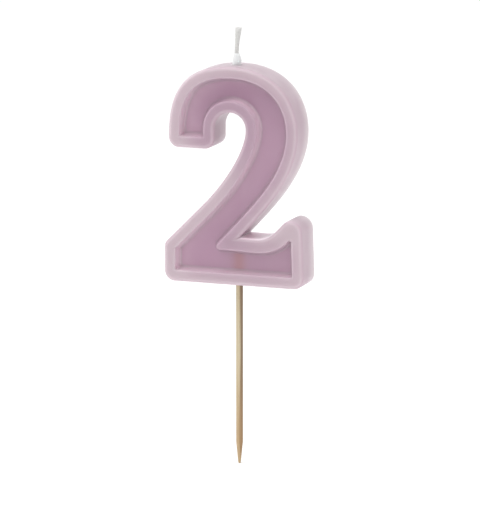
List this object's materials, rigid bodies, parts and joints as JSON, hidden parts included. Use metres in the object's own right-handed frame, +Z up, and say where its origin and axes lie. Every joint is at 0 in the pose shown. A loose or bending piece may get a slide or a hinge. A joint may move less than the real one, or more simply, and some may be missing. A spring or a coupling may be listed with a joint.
{
  "type": "number birthday candle",
  "caption": "Wax digit two with a raised rim round a sunk front panel, a waxed cotton wick on top and a pointed bamboo pick below.",
  "frame": {"origin": "where the pick's axis meets the flat underside of the digit, which is the level of the cake's top", "axes": "+X to the right of the digit as it is read, +Y from its sunk front towards its flat back, +Z up"},
  "size_m": [0.047, 0.012, 0.1412],
  "materials": {
    "wax": "satin",
    "bamboo": "matte",
    "cotton": "matte",
    "white_wax": "satin"
  },
  "bodies": {
    "pick": {"pick": "bamboo"},
    "candle": {"digit_body": "wax", "wick": "cotton", "wick_seal": "white_wax"}
  },
  "joints": [
    {"name": "pick_pull", "type": "slide", "parent": "pick", "child": "candle", "axis": [0, 0, 1], "range_m": [0, 0.02]}
  ]
}
